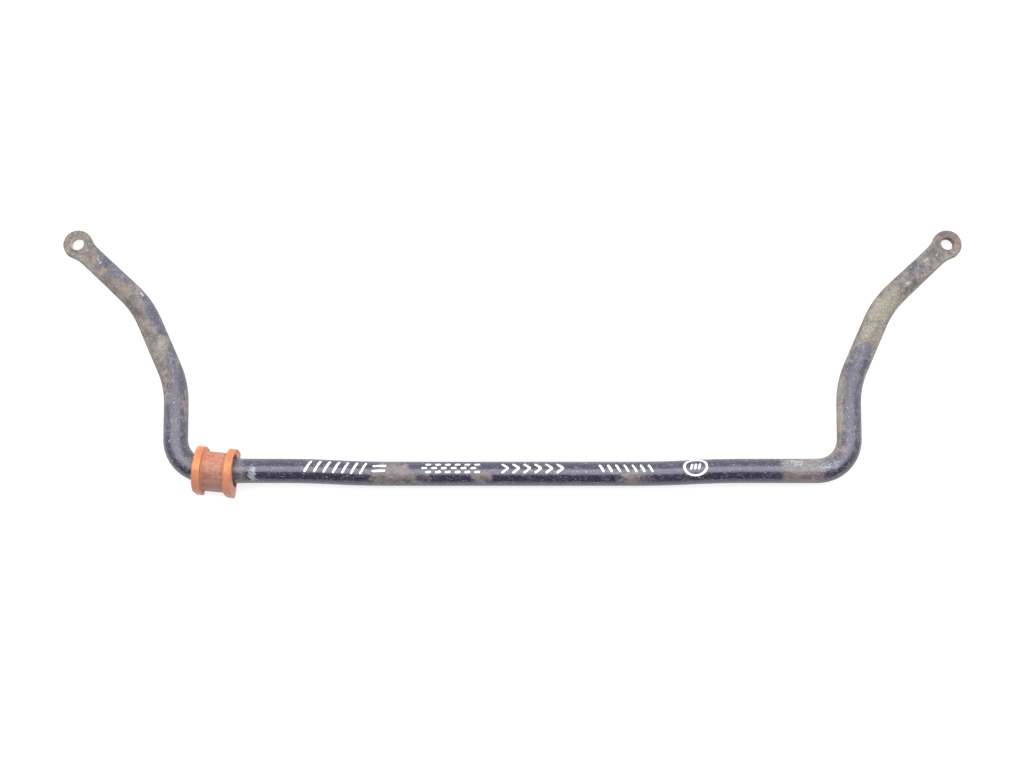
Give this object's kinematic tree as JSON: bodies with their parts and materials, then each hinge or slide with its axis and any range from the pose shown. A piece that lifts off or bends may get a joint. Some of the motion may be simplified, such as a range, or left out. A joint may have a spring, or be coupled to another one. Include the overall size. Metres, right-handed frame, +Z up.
{
  "type": "anti-roll bar",
  "caption": "Bent round steel sway bar with a flattened, drilled eye at each end, and one split flanged polyurethane bush that turns on its left seat.",
  "frame": {"origin": "middle of the bounding box's bottom face: halfway between the two eyes, halfway between the bush's front and the eyes' tips, on the plane that the part lies on", "axes": "+X along the bar from the bush's seat to the free seat, +Y from the bar towards the eyes, +Z up from the plane that the part lies on"},
  "size_m": [0.9816, 0.2922, 0.045],
  "materials": {
    "bar_paint": "worn gloss black paint with dirt and rust",
    "bush_polyurethane": "satin"
  },
  "bodies": {
    "bar": {"sway_bar": "bar_paint"},
    "bush": {"bushing": "bush_polyurethane"}
  },
  "joints": [
    {"name": "bush_turn", "type": "hinge", "parent": "bar", "child": "bush", "pos_m": [-0.31337, -0.12111, 0.02], "axis": [1, 0, 0], "continuous": true}
  ]
}
